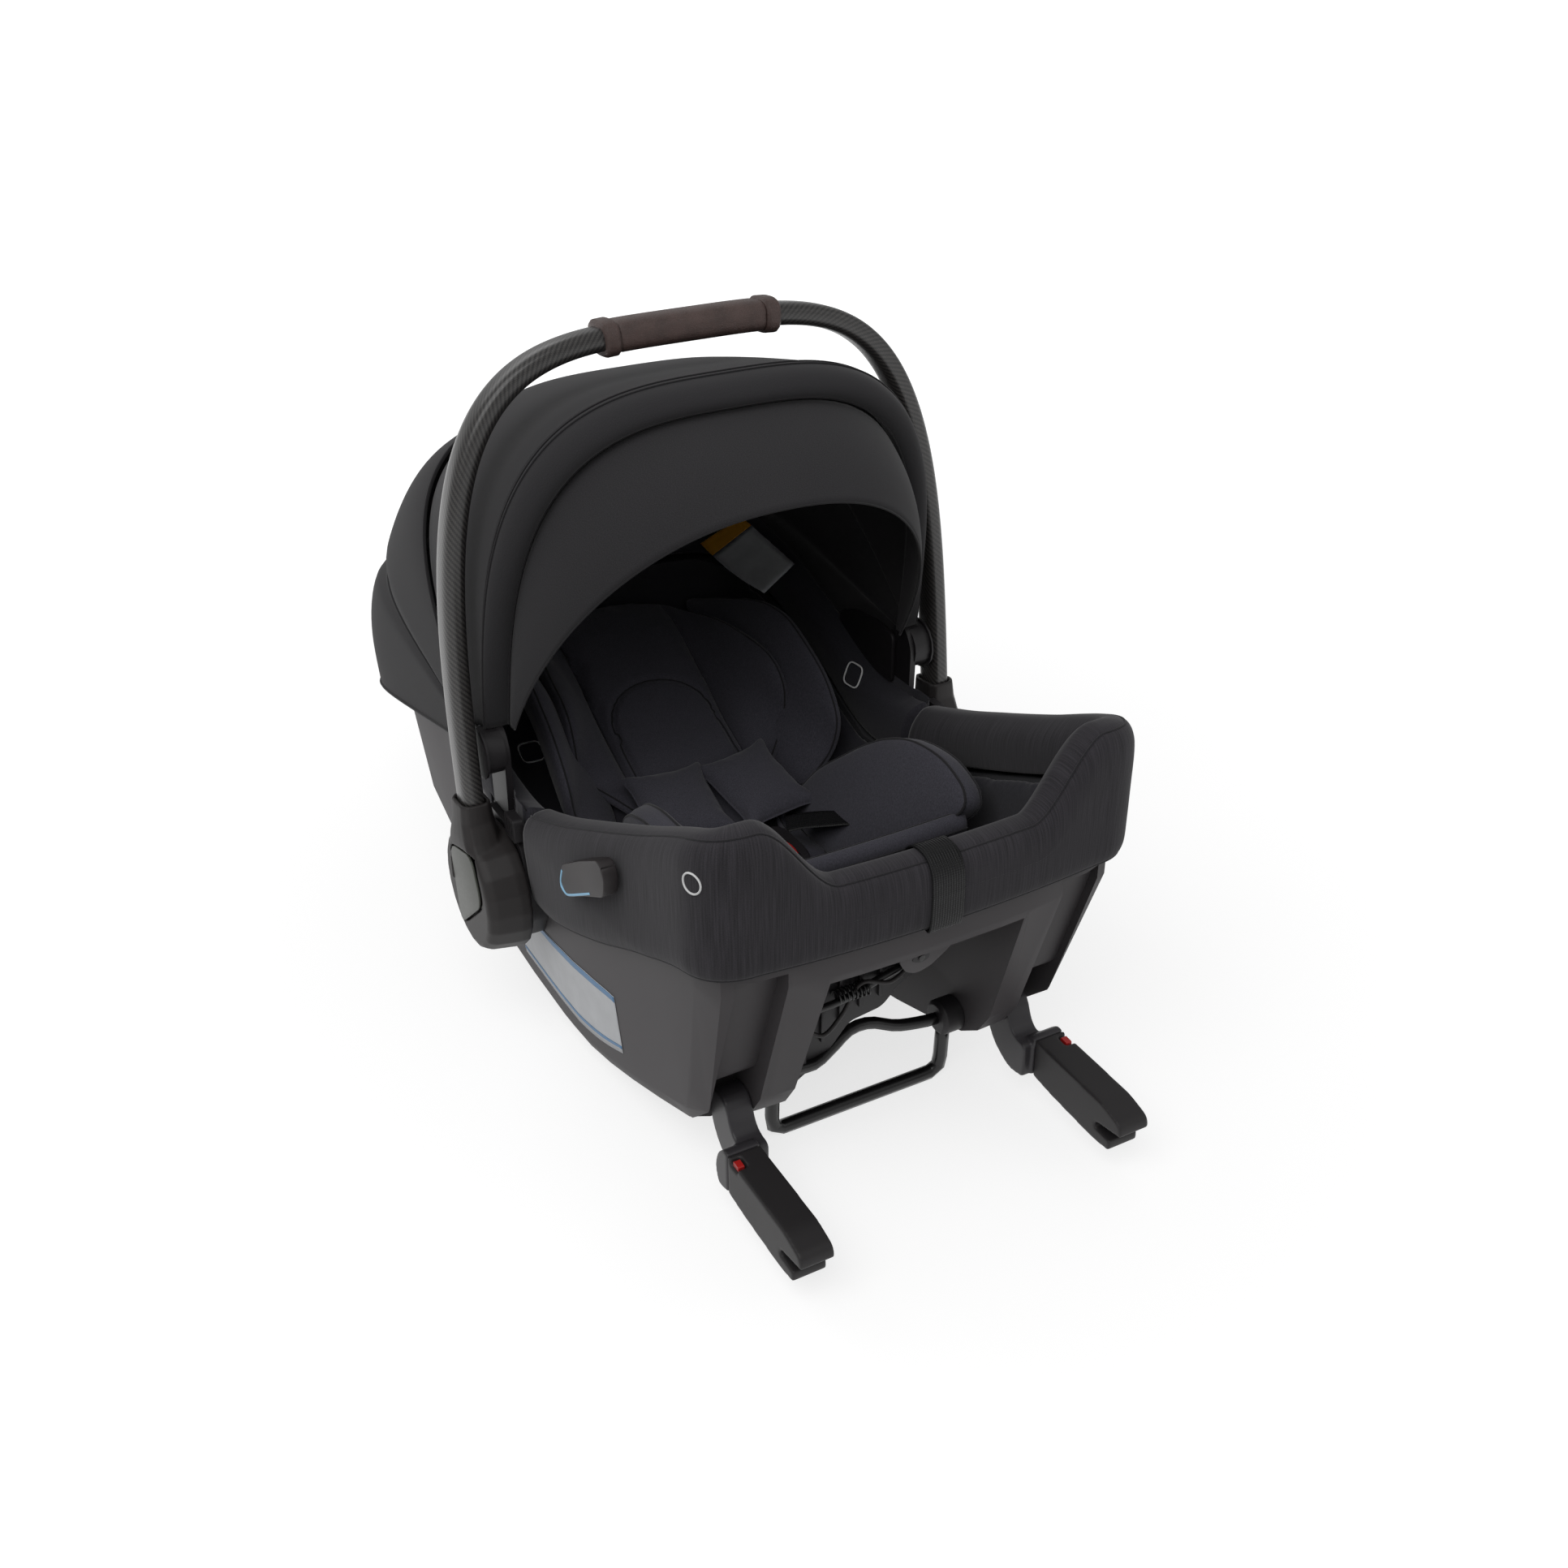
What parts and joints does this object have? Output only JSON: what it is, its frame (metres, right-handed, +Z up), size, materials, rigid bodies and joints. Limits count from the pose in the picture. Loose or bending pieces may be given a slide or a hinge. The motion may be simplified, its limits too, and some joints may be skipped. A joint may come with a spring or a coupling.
{
  "type": "infant car seat",
  "caption": "Rear-facing infant car seat with padded shell, arched carrying handle, folding canopy, fold-down foot and rigid anchor arms.",
  "frame": {"origin": "on the floor, on the flat of the rocker base, between the handle hubs", "axes": "+Z up, foot end toward -Y, head end toward +Y, handle axis along X"},
  "size_m": [0.4756, 0.7789, 0.5867],
  "materials": {
    "shell_plastic": "satin moulded",
    "dark_plastic": "satin moulded",
    "hub_plastic": "satin moulded",
    "olive_cap": "satin",
    "carbon_tube": "twill pattern under clear coat",
    "leather": "pebbled, stitched",
    "fabric": "heathered knit",
    "lining_fabric": "knit",
    "canopy_fabric": "woven",
    "foam": "moulded energy-absorbing foam",
    "webbing": "woven webbing",
    "steel": "black gloss",
    "mark_blue": "painted line",
    "signal_red": "moulded"
  },
  "bodies": {
    "carrier": {"shell": "shell_plastic", "belt_guide_right": "shell_plastic", "belt_guide_left": "shell_plastic", "buckle_tongue_right": "dark_plastic", "buckle_tongue_left": "dark_plastic", "buckle_body": "dark_plastic", "hub_base_right": "dark_plastic", "hub_base_left": "dark_plastic", "canopy_mount_right": "dark_plastic", "canopy_mount_left": "dark_plastic", "seat_cover": "fabric", "infant_insert": "fabric", "head_support": "fabric", "hip_bolster_right": "fabric", "hip_bolster_left": "fabric", "shoulder_pad_right": "fabric", "shoulder_pad_left": "fabric", "crotch_pad": "fabric", "seat_pad": "lining_fabric", "head_cover": "lining_fabric", "canopy_rear": "canopy_fabric", "foam_liner": "foam", "shoulder_strap_right": "webbing", "shoulder_strap_left": "webbing", "hip_strap_right": "webbing", "hip_strap_left": "webbing", "crotch_strap": "webbing", "front_strap": "webbing", "belt_guide_mark_right": "mark_blue", "belt_guide_mark_left": "mark_blue"},
    "handle": {"handle_hub_right": "hub_plastic", "handle_hub_left": "hub_plastic", "handle_tube": "carbon_tube", "handle_grip": "leather", "grip_cuff_right": "leather", "grip_cuff_left": "leather"},
    "handle_button_right": {"handle_button_right": "olive_cap"},
    "handle_button_left": {"handle_button_left": "olive_cap"},
    "canopy_front": {"canopy_front": "canopy_fabric", "canopy_brim": "canopy_fabric"},
    "canopy_middle": {"canopy_middle": "canopy_fabric"},
    "drape": {"drape": "canopy_fabric"},
    "foot": {"foot_bar": "steel", "foot_cross_bar": "steel", "foot_boss_right": "dark_plastic", "foot_boss_left": "dark_plastic"},
    "buckle_button": {"buckle_button": "signal_red"},
    "rear_lever": {"rear_lever": "dark_plastic"},
    "latch_right": {"latch_arm_right": "dark_plastic", "latch_connector_right": "dark_plastic", "latch_indicator_right": "signal_red"},
    "latch_jaw_right": {"latch_jaw_right": "steel"},
    "release_button_right": {"release_button_right": "dark_plastic"},
    "latch_left": {"latch_arm_left": "dark_plastic", "latch_connector_left": "dark_plastic", "latch_indicator_left": "signal_red"},
    "latch_jaw_left": {"latch_jaw_left": "steel"},
    "release_button_left": {"release_button_left": "dark_plastic"}
  },
  "joints": [
    {"name": "handle", "type": "hinge", "parent": "carrier", "child": "handle", "pos_m": [0, -0.008, 0.15], "axis": [1, 0, 0], "range_deg": [-95, 0], "deforming": ["canopy_rear"]},
    {"name": "canopy_front", "type": "hinge", "parent": "carrier", "child": "canopy_front", "pos_m": [0, 0.008, 0.265], "axis": [1, 0, 0], "range_deg": [-60, 0], "deforming": ["canopy_front"]},
    {"name": "canopy_middle", "type": "hinge", "parent": "carrier", "child": "canopy_middle", "pos_m": [0, 0.008, 0.265], "axis": [1, 0, 0], "range_deg": [-24, 0]},
    {"name": "drape", "type": "hinge", "parent": "canopy_front", "child": "drape", "pos_m": [0, 0.008, 0.265], "axis": [1, 0, 0], "range_deg": [-22, 0]},
    {"name": "foot", "type": "hinge", "parent": "carrier", "child": "foot", "pos_m": [0, -0.246, 0.066], "axis": [1, 0, 0], "range_deg": [0, 70]},
    {"name": "latch_right", "type": "hinge", "parent": "carrier", "child": "latch_right", "pos_m": [0.127, -0.262, 0.073], "axis": [1, 0, 0], "range_deg": [-70, 0]},
    {"name": "latch_jaw_right", "type": "hinge", "parent": "latch_right", "child": "latch_jaw_right", "pos_m": [0.139, -0.367, 0.037], "axis": [1, 0, 0], "range_deg": [0, 12], "stiffness_Nm_per_rad": 0.1},
    {"name": "handle_button_right", "type": "slide", "parent": "handle", "child": "handle_button_right", "axis": [-1, 0, 0], "range_m": [0, 0.004], "stiffness_N_per_m": 400},
    {"name": "release_button_right", "type": "slide", "parent": "carrier", "child": "release_button_right", "axis": [-1, 0, 0], "range_m": [0, 0.003], "stiffness_N_per_m": 400},
    {"name": "latch_left", "type": "hinge", "parent": "carrier", "child": "latch_left", "pos_m": [-0.127, -0.262, 0.073], "axis": [1, 0, 0], "range_deg": [-70, 0]},
    {"name": "latch_jaw_left", "type": "hinge", "parent": "latch_left", "child": "latch_jaw_left", "pos_m": [-0.139, -0.367, 0.037], "axis": [1, 0, 0], "range_deg": [0, 12], "stiffness_Nm_per_rad": 0.1},
    {"name": "handle_button_left", "type": "slide", "parent": "handle", "child": "handle_button_left", "axis": [1, 0, 0], "range_m": [0, 0.004], "stiffness_N_per_m": 400},
    {"name": "release_button_left", "type": "slide", "parent": "carrier", "child": "release_button_left", "axis": [1, 0, 0], "range_m": [0, 0.003], "stiffness_N_per_m": 400},
    {"name": "buckle_button", "type": "slide", "parent": "carrier", "child": "buckle_button", "axis": [0, 0, -1], "range_m": [0, 0.0028], "stiffness_N_per_m": 400},
    {"name": "rear_lever", "type": "hinge", "parent": "carrier", "child": "rear_lever", "pos_m": [0, 0.332, 0.166], "axis": [1, 0, 0], "range_deg": [0, 18], "stiffness_Nm_per_rad": 0.5}
  ],
  "couplings": [
    {"joint": "canopy_middle", "follows": "canopy_front", "ratio": 0.4}
  ]
}
